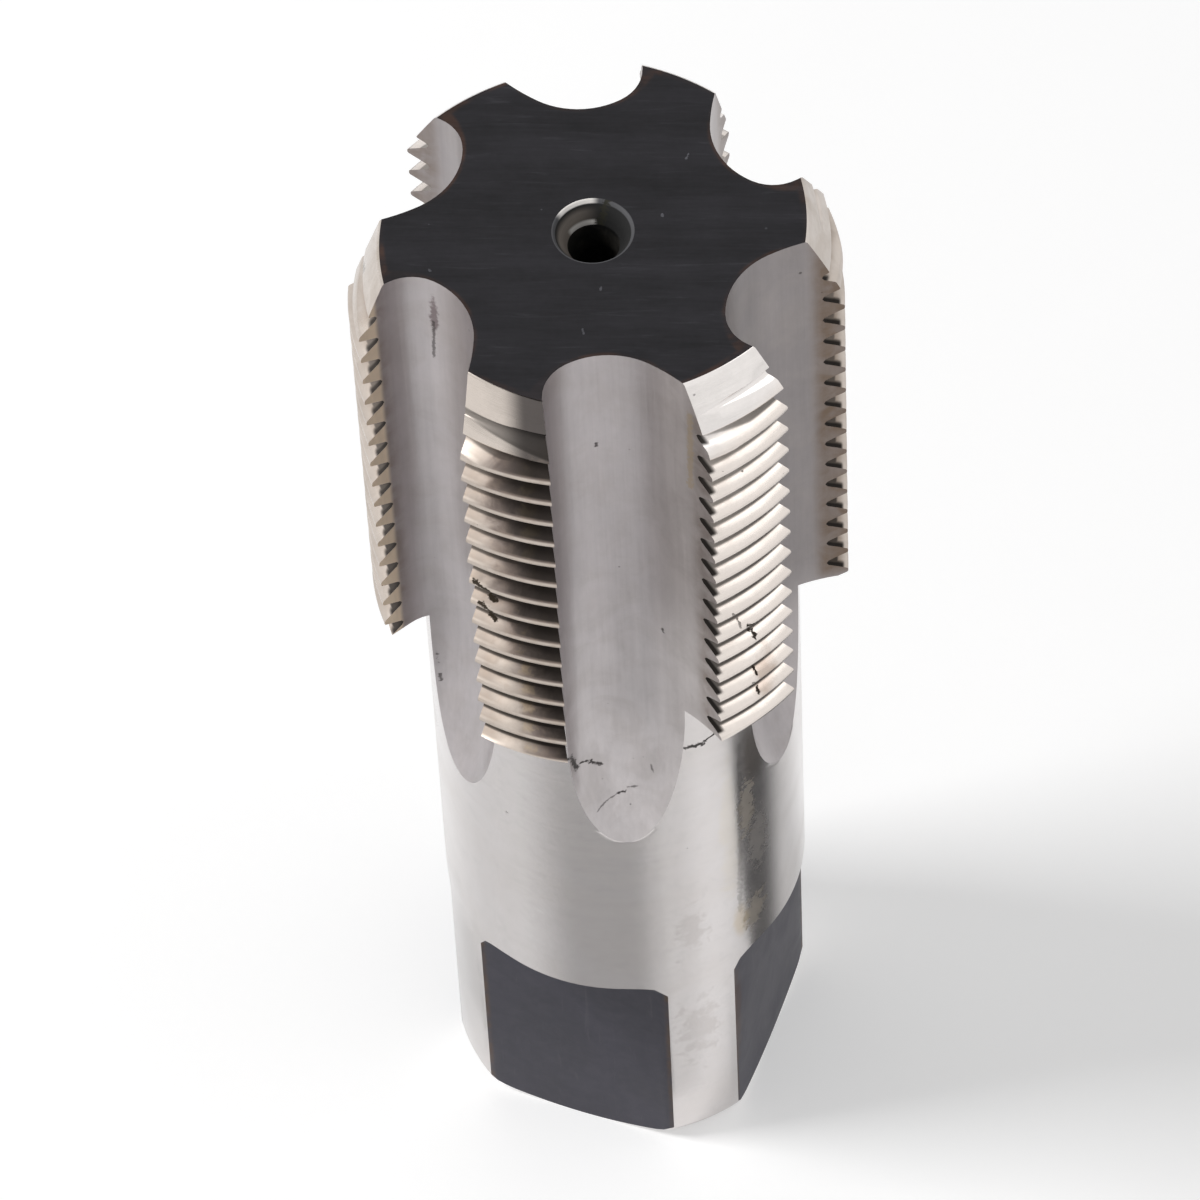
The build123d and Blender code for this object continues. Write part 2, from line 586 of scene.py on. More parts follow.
def square_column(angle):
    """Points down the bar's side from above the square to the bottom of the end's centre hole."""
    quarter = nearest_flat(angle)
    off_flat = angle - quarter
    fillet_top = square_length - square_corner
    fillet_side = square_half + square_corner
    fillet_steps = 5
    if meets_flat(angle):
        across = shank_radius * sin(off_flat)
        rim = shank_radius * cos(off_flat)
        start = asin(min(max(fillet_side - rim, 0.0) / square_corner, 1.0))
        arc = steps(start, pi / 2, fillet_steps) + [pi / 2]
        path = [(rim, fillet_top + square_corner * cos(start))]
        path += [(fillet_side - square_corner * sin(turn), fillet_top + square_corner * cos(turn))
                 for turn in arc]
        points = [Vector((reach, across, height)) for reach, height in path]
        lower_rim = Vector((square_half, across))
    else:
        lower_rim = polar(shank_radius, off_flat)
        heights = [square_length] + steps(square_length, fillet_top, fillet_steps) + [fillet_top]
        points = [lower_rim.to_3d() + Vector((0, 0, height)) for height in heights]
    rounding = [min(lower_rim.length, radius) for radius, _ in reversed(end_edge)]
    ends = [(radius, end_height(radius)) for radius in rounding]
    ends += [(hole_mouth, 0), (hole_radius, hole_cone_depth), (hole_radius, hole_depth), (0, hole_tip)]
    outwards = lower_rim.normalized()
    points += [(outwards * radius).to_3d() + Vector((0, 0, height)) for radius, height in ends]
    turn = Matrix.Rotation(quarter, 3, "Z")
    return [turn @ point for point in points]


def snapped(angles):
    """The angles, with the nearest ones moved on to the corners of the four flats."""
    result = list(angles)
    for quarter in range(4):
        for side in (-1, 1):
            corner = quarter * pi / 2 + side * flat_half_angle
            distance = [abs((angle - corner + pi) % (2 * pi) - pi) for angle in angles]
            least = min(distance)
            for number, angle in enumerate(angles):
                if distance[number] < least + 1e-6:
                    result[number] = corner
    return result


def skin(bm, rings, finish):
    """Faces between rings of as many points each."""
    layers = [[bm.verts.new(point) for point in ring] for ring in rings]
    for row, (upper, lower) in enumerate(zip(layers, layers[1:])):
        for column in range(len(upper)):
            after = (column + 1) % len(upper)
            face = bm.faces.new((upper[column], upper[after], lower[after], lower[column]))
            face.material_index = finish(row, column)


def add_shank(bm, slots):
    """Shank, square and the centre hole in the end."""
    tip_depth = sqrt(cutter_radius**2 - (core_radius + cutter_radius - shank_radius)**2)
    depths = [tip_depth * sin(turn) for turn in steps(0, pi / 2, steps_along_shank) + [pi / 2]]
    rings = [[point.to_3d() + Vector((0, 0, shoulder_height - depth)) for point in shank_ring(depth)]
             for depth in depths]
    flute_points = len(runout_outline(0))
    per_sector = len(rings[0]) // flute_count

    def shank_finish(row, column):
        return slots["milled flute" if column % per_sector < flute_points - 1 else "ground shank"]

    skin(bm, rings, shank_finish)
    angles = snapped([atan2(point.y, point.x) for point in rings[-1]])
    columns = [square_column(angle) for angle in angles]
    on_flat = [meets_flat(angle) for angle in angles]
    flat_rows = range(1, len(columns[0]) - len(end_edge) - 3)
    cone_row = len(columns[0]) - 3

    def square_finish(row, column):
        if row in flat_rows and on_flat[column] and on_flat[(column + 1) % len(columns)]:
            return slots["black flat"]
        if row < cone_row:
            return slots["ground shank"]
        return slots["centre cone" if row == cone_row else "drilled hole"]

    lower = [[column[row] for column in columns] for row in range(len(columns[0]))]
    skin(bm, [rings[-1]] + lower, square_finish)


def add_front_hole(bm, slots):
    """The centre hole in the front face, from its bright rim to the drill's point."""
    profile = (
        (hole_mouth + hole_rim, 0), (hole_mouth, hole_rim / 2), (hole_radius, hole_cone_depth),
        (hole_radius, hole_depth), (0.0, hole_tip),
    )
    rings = []
    for radius, depth in profile:
        circle = [polar(radius, angle) for angle in steps(0, 2 * pi, hole_columns)]
        rings.append([point.to_3d() + Vector((0, 0, overall_length - depth)) for point in circle])
    skin(bm, rings, lambda row, column: slots["centre cone" if row < 2 else "drilled hole"])


def close_level(bm, height, finish):
    """Flat faces over every open edge at a height."""
    edges = [edge for edge in bm.edges if len(edge.link_faces) == 1
             and all(abs(vertex.co.z - height) < 1e-3 for vertex in edge.verts)]
    filled = bmesh.ops.triangle_fill(bm, edges=edges, use_beauty=True)
    for item in filled["geom"]:
        if isinstance(item, bmesh.types.BMFace):
            item.material_index = finish


def pipe_tap(finishes):
    """The whole tap as one closed mesh."""
    slots = {name: number for number, name in enumerate(finishes)}
    side = cutting_end(finishes)
    for polygon in side.polygons:
        polygon.material_index = slots[side.materials[polygon.material_index].name]
    bm = bmesh.new()
    bm.from_mesh(side)
    add_shank(bm, slots)
    add_front_hole(bm, slots)
    bmesh.ops.remove_doubles(bm, verts=bm.verts, dist=merge_distance)
    bmesh.ops.dissolve_degenerate(bm, edges=bm.edges, dist=merge_distance)
    close_level(bm, shoulder_height, slots["ground shank"])
    close_level(bm, overall_length, slots["black face"])
    bmesh.ops.recalc_face_normals(bm, faces=bm.faces)
    for face in bm.faces:
        face.smooth = True
    for edge in bm.edges:
        if edge.calc_face_angle() > radians(sharp_edge_angle):
            edge.smooth = False
    mesh = mesh_from("tap", bm, finishes.values())
    mesh.transform(Matrix.Scale(MM, 4))
    piece = add_object("tap", mesh)
    piece.modifiers.new("flat faces stay flat", "WEIGHTED_NORMAL").keep_sharp = True
    return piece


# Finishes. Each reads the object's own coordinates, in millimetres.

def shader_group(name, inputs, outputs):
    """An effect that several finishes use, with named inputs and outputs."""
    tree = bpy.data.node_groups.new(name, "ShaderNodeTree")
    for socket, value in inputs.items():
        kind = "NodeSocketVector" if isinstance(value, tuple) else "NodeSocketFloat"
        tree.interface.new_socket(socket, in_out="INPUT", socket_type=kind).default_value = value
    for socket in outputs:
        tree.interface.new_socket(socket, in_out="OUTPUT", socket_type="NodeSocketFloat")
    start = tree.nodes.new("NodeGroupInput")
    end = tree.nodes.new("NodeGroupOutput")
    return tree, start.outputs, end.inputs


def noise(tree, point, scale, detail, distortion=0.0):
    node = add_node(tree, "ShaderNodeTexNoise", {
        "Vector": point, "Scale": scale, "Detail": detail, "Roughness": 0.6, "Distortion": distortion,
    })
    return Field(tree, node.outputs["Fac"])


def vector_math(tree, operation, first, second=None, output="Vector"):
    node = add_node(tree, "ShaderNodeVectorMath", {0: first}, operation=operation)
    if second is not None:
        connect(tree, second, node.inputs["Scale" if operation == "SCALE" else 1])
    return node.outputs[output]


def tool_marks_group():
    """Fine lines that a wheel or cutter left, and the broader streaks between them."""
    tree, given, result = shader_group(
        "tool marks", {"Point": (0.0, 0.0, 0.0), "Fineness": 1.0}, ("Height", "Tone"))
    fineness = Field(tree, given["Fineness"])
    fine = noise(tree, given["Point"], fineness, 5.0)
    broad = noise(tree, given["Point"], fineness * 0.16, 3.0)
    connect(tree, (fine - 0.5) * 2.0, result["Height"])
    connect(tree, (broad - 0.5) * 2.0 + (fine - 0.5), result["Tone"])
    return tree


def specks_group():
    """Scattered small pits and crumbs."""
    tree, given, result = shader_group(
        "specks", {"Point": (0.0, 0.0, 0.0), "Per mm": 1.0, "Size": 0.2, "Share": 0.2}, ("Mask",))
    cells = add_node(tree, "ShaderNodeTexVoronoi", {"Vector": given["Point"], "Scale": given["Per mm"]})
    chance, spread, _ = parts_of(tree, cells.outputs["Color"])
    reach = Field(tree, given["Size"]) * (spread * 0.7 + 0.3)
    near = Field(tree, cells.outputs["Distance"]).rise(reach, reach * 0.5)
    connect(tree, near * chance.math("LESS_THAN", given["Share"]), result["Mask"])
    return tree


def stain_group():
    """Cloudy patches all over, such as old oil."""
    tree, given, result = shader_group(
        "stain", {"Point": (0.0, 0.0, 0.0), "Per mm": 0.2, "Cover": 0.4, "Softness": 0.1}, ("Mask",))
    cloud = noise(tree, given["Point"], given["Per mm"], 4.0, 0.6)
    edge = 0.5 + (0.5 - Field(tree, given["Cover"])) * 0.5
    softness = Field(tree, given["Softness"])
    connect(tree, cloud.rise(edge - softness, edge + softness), result["Mask"])
    return tree


def patch_group():
    """One ragged patch at a named place."""
    tree, given, result = shader_group("patch", {
        "Point": (0.0, 0.0, 0.0), "Middle": (0.0, 0.0, 0.0), "Reach": (1.0, 1.0, 1.0),
        "Raggedness": 0.5, "Per mm": 0.8,
    }, ("Mask",))
    away = vector_math(tree, "SUBTRACT", given["Point"], given["Middle"])
    away = vector_math(tree, "DIVIDE", away, given["Reach"])
    length = Field(tree, vector_math(tree, "LENGTH", away, output="Value"))
    ragged = (noise(tree, given["Point"], given["Per mm"], 4.0, 0.4) - 0.5) * given["Raggedness"]
    connect(tree, (length + ragged * 2.0).rise(1.0, 0.35), result["Mask"])
    return tree


def scratch_group():
    """A ragged mark from one place to another, such as a nick, a crumb of dirt or a scored line."""
    tree, given, result = shader_group("scratch", {
        "Point": (0.0, 0.0, 0.0), "Start": (0.0, 0.0, 0.0), "End": (1.0, 0.0, 0.0),
        "Width": 0.2, "Raggedness": 0.5,
    }, ("Mask",))
    along = vector_math(tree, "SUBTRACT", given["End"], given["Start"])
    away = vector_math(tree, "SUBTRACT", given["Point"], given["Start"])
    reached = Field(tree, vector_math(tree, "DOT_PRODUCT", away, along, output="Value"))
    length = Field(tree, vector_math(tree, "DOT_PRODUCT", along, along, output="Value"))
    share = (reached / length).clamp(0.0, 1.0)
    nearest = vector_math(tree, "SCALE", along, share)
    distance = Field(tree, vector_math(tree, "DISTANCE", away, nearest, output="Value"))
    width = Field(tree, given["Width"])
    ragged = (noise(tree, given["Point"], 4.5, 4.0) - 0.5) * given["Raggedness"] * width * 4.0
    connect(tree, (distance + ragged).rise(width, width * 0.4), result["Mask"])
    return tree


effects = {group.name: group for group in (
    tool_marks_group(), specks_group(), stain_group(), patch_group(), scratch_group(),
)}


class Finish:
    """A material in the making: its shader, its colour so far, and places to build patterns from."""

    def __init__(self, name, colour, metallic, roughness, specular=0.5):
        self.material = bpy.data.materials.new(name)
        self.material.use_nodes = True
        self.tree = self.material.node_tree
        self.shader = self.tree.nodes["Principled BSDF"]
        self.metallic = metallic
        self.shader.inputs["Metallic"].default_value = metallic
        self.shader.inputs["Roughness"].default_value = roughness
        self.shader.inputs["Specular IOR Level"].default_value = specular
        self.colour = (*colour, 1.0)
        coordinates = self.tree.nodes.new("ShaderNodeTexCoord").outputs["Object"]
        self.point = vector_math(self.tree, "SCALE", coordinates, 1 / MM)
        self.x, self.y, self.z = parts_of(self.tree, self.point)
        self.radius = (self.x * self.x + self.y * self.y).math("SQRT")
        self.turn = self.y.math("ARCTAN2", self.x)

    def effect(self, name, **values):
        """What one of the shared effects puts out, here with these values."""
        node = add_node(self.tree, "ShaderNodeGroup", node_tree=effects[name])
        values.setdefault("point", self.point)
        for socket in node.inputs:
            given = values.get(socket.name.lower().replace(" ", "_"))
            if given is not None:
                connect(self.tree, given, socket)
        return [Field(self.tree, socket) for socket in node.outputs]

    def tool_marks(self, **values):
        """Height and tone of fine lines."""
        return self.effect("tool marks", **values)

    def specks(self, **values):
        return self.effect("specks", **values)[0]

    def stain(self, **values):
        return self.effect("stain", **values)[0]

    def patch(self, middle, reach, **values):
        return self.effect("patch", middle=middle, reach=reach, **values)[0]

    def marks(self, *rows, raggedness=0.9):
        """Marks from place to place, each as its start, its end and its width."""
        masks = [self.effect("scratch", start=start, end=end, width=width, raggedness=raggedness)[0]
                 for start, end, width in rows]
        return masks[0].most(*masks[1:])

    def stretched(self, x, y, z, turn=0.0):
        """The point turned about the tap's axis, and then its directions stretched."""
        turned_point = self.point
        if turn:
            turned_point = add_node(self.tree, "ShaderNodeVectorRotate", {
                "Vector": self.point, "Angle": radians(turn),
            }, rotation_type="Z_AXIS").outputs[0]
        return vector_math(self.tree, "MULTIPLY", turned_point, (x, y, z))

    def tint(self, colour, share):
        """Lays a colour over the one so far, by a share."""
        node = add_node(self.tree, "ShaderNodeMix", {
            0: share, 6: self.colour, 7: (*colour, 1.0),
        }, data_type="RGBA")
        self.colour = node.outputs[2]

    def shade(self, tone):
        """Makes the colour so far lighter or darker by a share of itself."""
        self.colour = vector_math(self.tree, "SCALE", self.colour, 1.0 + tone)

    def beside_flute(self):
        """The point turned to the nearest flute, whose middle lies along X: its two numbers."""
        turn = (self.turn - radians(first_flute_angle)).wrap(radians(flute_spacing / 2))
        return self.radius * turn.math("COSINE"), self.radius * turn.math("SINE")

    def off_angle(self, middle):
        """How far round the tap the point lies from an angle, either way."""
        return (self.turn - radians(middle)).wrap(radians(180)).math("ABSOLUTE")

    def on_flute(self, number):
        """1 on a flute and on the halves of the lands beside it."""
        middle = first_flute_angle + number * flute_spacing
        return self.off_angle(middle).math("LESS_THAN", radians(flute_spacing / 2))

    def on_land(self, number):
        """1 on a land and on the halves of the flutes beside it."""
        return self.on_flute(number + 0.5)

    def paint(self, roughness, height, depth, dark_marks=None):
        """Feeds the shader. Height is a number of about 1, and depth its size in millimetres."""
        if dark_marks is not None:
            connect(self.tree, (1.0 - dark_marks) * self.metallic, self.shader.inputs["Metallic"])
            roughness = roughness + dark_marks * 0.5
        connect(self.tree, self.colour, self.shader.inputs["Base Color"])
        connect(self.tree, roughness.clamp(0.05, 1.0), self.shader.inputs["Roughness"])
        bump = add_node(self.tree, "ShaderNodeBump", {
            "Height": height, "Strength": 1.0, "Distance": depth * MM,
        })
        connect(self.tree, bump.outputs[0], self.shader.inputs["Normal"])
        return self.material


oil_brown = (0.17, 0.12, 0.085)
oil_gold = (0.50, 0.38, 0.21)
dark_brown = (0.022, 0.017, 0.014)
rust_brown = (0.085, 0.042, 0.026)


def ground_thread():
    """Lands: bright flanks with fine rings, oil deeper in the grooves, and painted shade at the grooves'
    bottoms and ends.
    """
    finish = Finish("ground thread", (0.84, 0.80, 0.775), 1.0, 0.15, 0.3)
    rings = finish.stretched(0.25, 0.25, 6.0)
    height, tone = finish.tool_marks(point=rings, fineness=1.2)
    _, grain = finish.tool_marks(fineness=3.0)
    across = Field(finish.tree, add_node(
        finish.tree, "ShaderNodeAttribute", attribute_name="across").outputs["Fac"])
    # The lead stands 1 mm further out at the cutting edge than at the heel
    lead = lead_heel_radius + across + (overall_length - finish.z) * lead_taper
    depth = ((lead.least(major_radius) - finish.radius) / thread_depth).clamp(0.0, 1.0)
    threaded = lead.rise(major_radius - 0.8, major_radius)
    leftmost, front_left, front_right, rightmost = (finish.on_land(number) for number in (2, 3, 4, 5))
    cloud = finish.stain(per_mm=0.35, cover=0.45, softness=0.15)
    low = finish.z.rise(90.0, 60.0)

    # Dried oil: a cream tint on every land, a darker cream on the front left land that is partly painted
    # reflection, and brown on the two outer ones
    finish.tint((0.76, 0.695, 0.645), threaded)
    finish.tint((0.53, 0.465, 0.41), front_left * (0.85 + threaded * 0.1))
    finish.tint((0.50, 0.44, 0.39), leftmost.most(rightmost) * (0.7 + cloud * 0.3))
    film = 0.06 + cloud * 0.14 + rightmost * 0.55 + leftmost * 0.2
    finish.tint(oil_brown, (film * depth.rise(0.05, 0.5)).clamp(0.0, 0.9))
    browned = finish.patch((14.3, -8.0, 59.5), (1.2, 1.3, 4.0), raggedness=0.6, per_mm=0.8)
    finish.tint((0.40, 0.29, 0.22), browned * 0.55)
    gold = finish.patch((1.0, -16.2, 82.0), (0.75, 3.0, 8.0), raggedness=1.0, per_mm=0.9)
    stained = finish.patch((0.0, -16.2, 61.0), (0.6, 3.0, 8.5), raggedness=1.8, per_mm=1.8)

    # The front left land darkens towards its cutting edge, all but the thin lines of its crests: partly
    # brown oil and partly painted shade and painted reflection
    # Painted reflection: the right part of the front left land's chamfer dark
    darkened = across.rise(0.46, 0.78) * finish.z.rise(87.9, 88.2) * front_left
    finish.tint((0.085, 0.075, 0.072), darkened * 0.95)
    edge = across + cloud * 0.14 - finish.z.rise(74.0, 52.0) * 0.34
    brown = edge.rise(0.12, 0.5) * front_left * depth.rise(0.01, 0.06) * threaded
    black = edge.rise(0.3, 0.85) * front_left * depth.rise(0.04, 0.16) * threaded
    finish.tint((0.13, 0.10, 0.09), brown * 0.9)
    finish.tint(oil_gold, gold.most(stained * 0.6) * depth.rise(0.02, 0.3) * 0.45)
    # Painted shade: darker at the heel ends of the front left land's grooves
    heel = across.rise(0.45, 0.1) * front_left * threaded * depth.rise(0.02, 0.2)
    finish.tint((0.26, 0.22, 0.19), heel * 0.7)
    blotch = finish.stain(per_mm=1.0, cover=0.4, softness=0.2)
    finish.tint((0.36, 0.28, 0.22), blotch * front_left * threaded * 0.35)

    # Painted shade at the bottoms of the grooves, at their heel ends, deep at the cutting ends of the two
    # outer lands and along the first groove of the front left land
    fade = across * 0.45 + low * 0.55
    root = depth.rise(0.45, 0.56) * (0.4 + fade * 0.6)
    first_groove = (finish.z - across * 0.15).rise(90.65, 90.5)
    first_groove = first_groove * (finish.z + across * 0.8).rise(89.95, 90.15)
    first_groove = first_groove * front_left * (0.5 + across * 0.4)
    heel_end = across.rise(0.1, 0.035) * depth.rise(0.15, 0.3) * front_right.most(rightmost)
    cutting_end = across.rise(0.86, 0.97) * rightmost.most(leftmost) * depth.rise(0.25, 0.5)
    cracks = finish.marks(
        ((13.65, -9.4, 66.6), (13.95, -9.05, 66.4), 0.13),
        ((13.45, -8.45, 64.85), (13.9, -8.6, 64.55), 0.17),
        ((13.85, -8.75, 64.6), (13.95, -8.75, 64.3), 0.12),
        ((13.5, -8.2, 60.2), (13.95, -8.56, 59.9), 0.12),
        ((13.75, -8.2, 57.75), (14.0, -8.5, 57.6), 0.14),
        ((-3.35, -16.2, 73.2), (-2.15, -16.5, 72.9), 0.18),
        ((-2.4, -15.7, 71.35), (-2.0, -15.95, 71.2), 0.27),
        ((-3.0, -16.25, 70.95), (-2.1, -16.5, 70.6), 0.19),
        ((-2.5, -15.6, 69.0), (-2.05, -15.85, 68.9), 0.26),
        ((12.5, -10.4, 91.9), (12.6, -10.3, 91.5), 0.16),
        ((13.0, -9.9, 89.0), (13.1, -9.9, 88.4), 0.13),
        ((13.5, -9.1, 86.4), (13.5, -9.3, 85.6), 0.14),
    )
    faint = finish.marks(
        ((12.85, -9.3, 67.05), (13.35, -9.75, 66.7), 0.1),
        ((13.0, -10.35, 68.85), (13.15, -10.2, 68.6), 0.1),
        ((13.85, -9.2, 59.65), (14.0, -9.0, 59.4), 0.1),
    )
    pits = finish.specks(per_mm=1.5, size=0.18, share=0.1)
    # One mask of dark marks: painted shade, together with real cracks, faint marks and pits
    dark_marks = (root * 0.92).most(heel_end * 0.99, black * 0.9, cutting_end * 0.95, first_groove,
                             cracks * 0.9, faint * 0.5, pits * 0.4)
    finish.tint(dark_brown, dark_marks)
    finish.tint((0.04, 0.028, 0.016), cracks * 0.8)
    finish.shade(tone * 0.06 + grain * 0.09)
    roughness = 0.16 + threaded * 0.06 + film * 0.2 + tone * 0.03 + brown * 0.1
    roughness = roughness + front_left * threaded * 0.12 + heel * 0.2
    return finish.paint(roughness, height * 0.6 - cracks - pits * 2.0, 0.004, dark_marks)


def ground_shank():
    """Shank: bright and nearly smooth, with faint rings, clouds of oil, a few brown stains, and painted
    reflection that darkens its lower left and the top of the dark band on its right.
    """
    finish = Finish("ground shank", (0.70, 0.67, 0.665), 1.0, 0.15, 0.3)
    rings = finish.stretched(0.2, 0.2, 9.0)
    height, tone = finish.tool_marks(point=rings, fineness=1.6)
    film = finish.stain(per_mm=0.11, cover=0.5, softness=0.2)
    finish.tint((0.60, 0.555, 0.52), film * 0.3)
    mottle = finish.stain(per_mm=1.1, cover=0.3, softness=0.12)
    finish.tint((0.57, 0.55, 0.54), mottle * 0.25)
    # Painted reflection: the lower left of the shank darker, as the shaded floor by the tap's foot would
    # show in it
    lower_left_painted_shade = finish.patch((-10.0, -9.0, 10.0), (6.0, 6.0, 16.0), raggedness=0.4, per_mm=0.25)
    finish.tint((0.47, 0.45, 0.44), lower_left_painted_shade * 0.6)

    # Stains on the right of the front, beside a thin brown line, and painted reflection at the top of the
    # dark band there
    gold = finish.patch((11.8, -5.8, 39.0), (1.0, 1.1, 5.0), raggedness=1.0, per_mm=1.6)
    gold = gold.most(finish.patch((12.1, -5.3, 25.2), (1.3, 1.5, 3.0), raggedness=0.9, per_mm=1.6))
    brown = finish.patch((12.2, -4.9, 33.8), (1.2, 1.4, 4.6), raggedness=1.0, per_mm=1.6)
    line = finish.marks(((11.6, -6.3, 47.0), (11.4, -6.6, 26.5), 0.3), raggedness=1.0)
    smear = finish.patch((9.0, -9.6, 14.0), (1.8, 1.9, 4.5), raggedness=1.7, per_mm=1.1)
    smear = smear.most(finish.patch((8.8, -9.8, 27.0), (1.3, 1.3, 3.6), raggedness=1.7, per_mm=1.1))
    speckle = finish.specks(per_mm=2.2, size=0.3, share=0.3) * gold.most(brown * 0.7)
    cream = finish.patch((11.0, -7.2, 38.0), (1.1, 1.2, 10.0), raggedness=1.0, per_mm=0.6)
    finish.tint((0.68, 0.62, 0.53), cream * 0.4)
    finish.tint((0.15, 0.11, 0.05), gold.rise(0.0, 0.9) * 0.6)
    finish.tint((0.07, 0.055, 0.04), (brown.rise(0.0, 0.9) * 0.6).most(line * 0.35))
    # Painted reflection: the top of the dark band on the shank darkened in the colour
    upper = finish.patch((12.1, -5.0, 45.0), (1.3, 1.6, 5.0), raggedness=0.4, per_mm=0.6)
    finish.tint((0.33, 0.26, 0.21), upper * 0.5)
    oil = finish.patch((11.5, -6.6, 25.2), (0.9, 1.0, 2.6), raggedness=0.35, per_mm=0.6)
    finish.tint((0.60, 0.49, 0.34), oil * 0.5)
    finish.tint(oil_brown, smear * 0.16)
    pale = finish.marks(
        ((-1.6, -13.1, 29.4), (3.0, -12.8, 29.3), 0.06),
        ((3.4, -12.7, 28.9), (5.2, -12.1, 29.1), 0.06),
    )
    finish.tint((0.9, 0.88, 0.86), pale * 0.5)
    crumbs = finish.marks(
        ((8.9, -9.7, 50.2), (9.9, -8.7, 49.9), 0.24),
        ((9.9, -8.7, 50.1), (10.55, -7.9, 50.4), 0.14),
        ((1.3, -13.1, 49.9), (2.2, -12.9, 50.6), 0.18),
    )
    pits = finish.specks(per_mm=0.8, size=0.14, share=0.05)
    dark_marks = (pits * 0.4).most(crumbs * 0.9, speckle * 0.5)
    finish.tint(dark_brown, dark_marks)
    finish.shade(tone * 0.03)
    roughness = 0.16 + film * 0.07 + brown * 0.1 + gold * 0.08 + tone * 0.02
    return finish.paint(roughness, height * 0.4 - pits * 3.0, 0.0025,
                        dark_marks.most(gold.rise(0.3, 1.0) * 0.25, brown.rise(0.3, 1.0) * 0.2))


def milled_flute():
    """Flutes: satin, with lines along them, duller and browner towards the heel, lighter on the front flute
    by painted light and darker on the right and far left flutes by painted shade.
    """
    finish = Finish("milled flute", (0.44, 0.41, 0.415), 1.0, 0.38, 0.3)
    lines = finish.stretched(2.6, 2.6, 0.08)
    height, tone = finish.tool_marks(point=lines, fineness=1.4)
    _, grain = finish.tool_marks(point=finish.stretched(1.0, 1.0, 0.5), fineness=2.5)
    _, side = finish.beside_flute()
    darkened = side.rise(1.5, 5.5)
    finish.tint((0.38, 0.345, 0.33), darkened * 0.35)
    # Painted light: the front flute lighter towards its heel side and its lower end
    finish.tint((0.60, 0.56, 0.545), finish.on_flute(4) * side.rise(2.0, 5.0) * 0.8)
    finish.tint((0.58, 0.55, 0.55), finish.on_flute(4) * finish.z.rise(72.0, 50.0) * 0.6)
    # Painted shade: the right and far left flutes darker above their run-outs
    shaded = finish.on_flute(5).most(finish.on_flute(2)) * finish.z.rise(50.0, 58.0)
    finish.tint((0.25, 0.23, 0.23), shaded * (0.8 - finish.on_flute(2) * 0.3))
    film = finish.stain(per_mm=0.3, cover=0.4, softness=0.15)
    finish.tint((0.35, 0.315, 0.30), film * 0.3)
    cloud = finish.stain(per_mm=0.5, cover=0.5, softness=0.2)
    edge = finish.radius.rise(14.0, 15.2) * finish.z.rise(54.0, 56.0)
    finish.tint(oil_brown, edge * (0.2 + cloud * 0.4 + finish.on_flute(5) * 0.35))
    tips = finish.on_flute(3) * finish.radius.rise(15.0, 15.4) * finish.y.rise(-12.0, -11.0)
    finish.tint((0.78, 0.66, 0.50), tips * finish.z.rise(53.0, 55.0) * 0.9)
    rim = finish.marks(((10.2, -10.2, 82.0), (10.4, -10.3, 90.0), 0.35), raggedness=0.8)
    finish.tint(oil_gold, rim * 0.5)
    streaks = finish.marks(
        ((1.5, -12.8, 49.9), (1.8, -12.5, 48.2), 0.26),
        ((1.9, -12.1, 48.4), (2.5, -11.4, 48.1), 0.12),
        ((2.4, -11.5, 47.95), (3.05, -11.0, 47.3), 0.17),
        ((4.25, -11.0, 44.3), (4.65, -10.8, 44.4), 0.15),
    )
    faint = finish.marks(
        ((-8.75, -7.3, 88.5), (-8.95, -7.3, 84.6), 0.14),
        ((3.1, -12.3, 43.2), (3.5, -11.65, 43.8), 0.09),
        ((3.5, -11.65, 43.8), (4.25, -11.05, 44.3), 0.08),
        ((4.8, -10.65, 44.75), (5.4, -10.4, 44.85), 0.1),
        ((6.3, -9.8, 47.05), (6.5, -9.95, 46.4), 0.1),
    )
    crumbs = finish.marks(
        ((3.5, -9.9, 83.5), (3.5, -9.9, 83.2), 0.15),
        ((7.4, -9.3, 63.2), (7.4, -9.3, 62.8), 0.15),
        ((-10.35, -7.65, 50.2), (-10.25, -7.6, 49.2), 0.16),
        ((-10.15, -7.85, 48.0), (-10.1, -7.9, 47.3), 0.14),
    )
    pits = finish.specks(per_mm=0.9, size=0.14, share=0.05)
    runout = finish.patch((3.9, -10.6, 45.0), (4.0, 3.0, 4.5), raggedness=0.6)
    pits = pits.most(finish.specks(per_mm=1.6, size=0.25, share=0.2) * runout)
    smear = finish.patch((-8.68, -7.3, 89.2), (0.42, 0.6, 2.4), raggedness=0.9, per_mm=2.6)
    finish.tint((0.12, 0.085, 0.09), smear * 0.75)
    dark_marks = (streaks * 0.8).most(faint * 0.42, crumbs * 0.6, pits * 0.45)
    finish.tint(dark_brown, dark_marks)
    finish.shade(tone * 0.17 + grain * 0.1)
    roughness = 0.37 + tone * 0.05 + darkened * 0.04
    return finish.paint(roughness, height - streaks * 2.0 - crumbs * 2.0, 0.006, dark_marks)


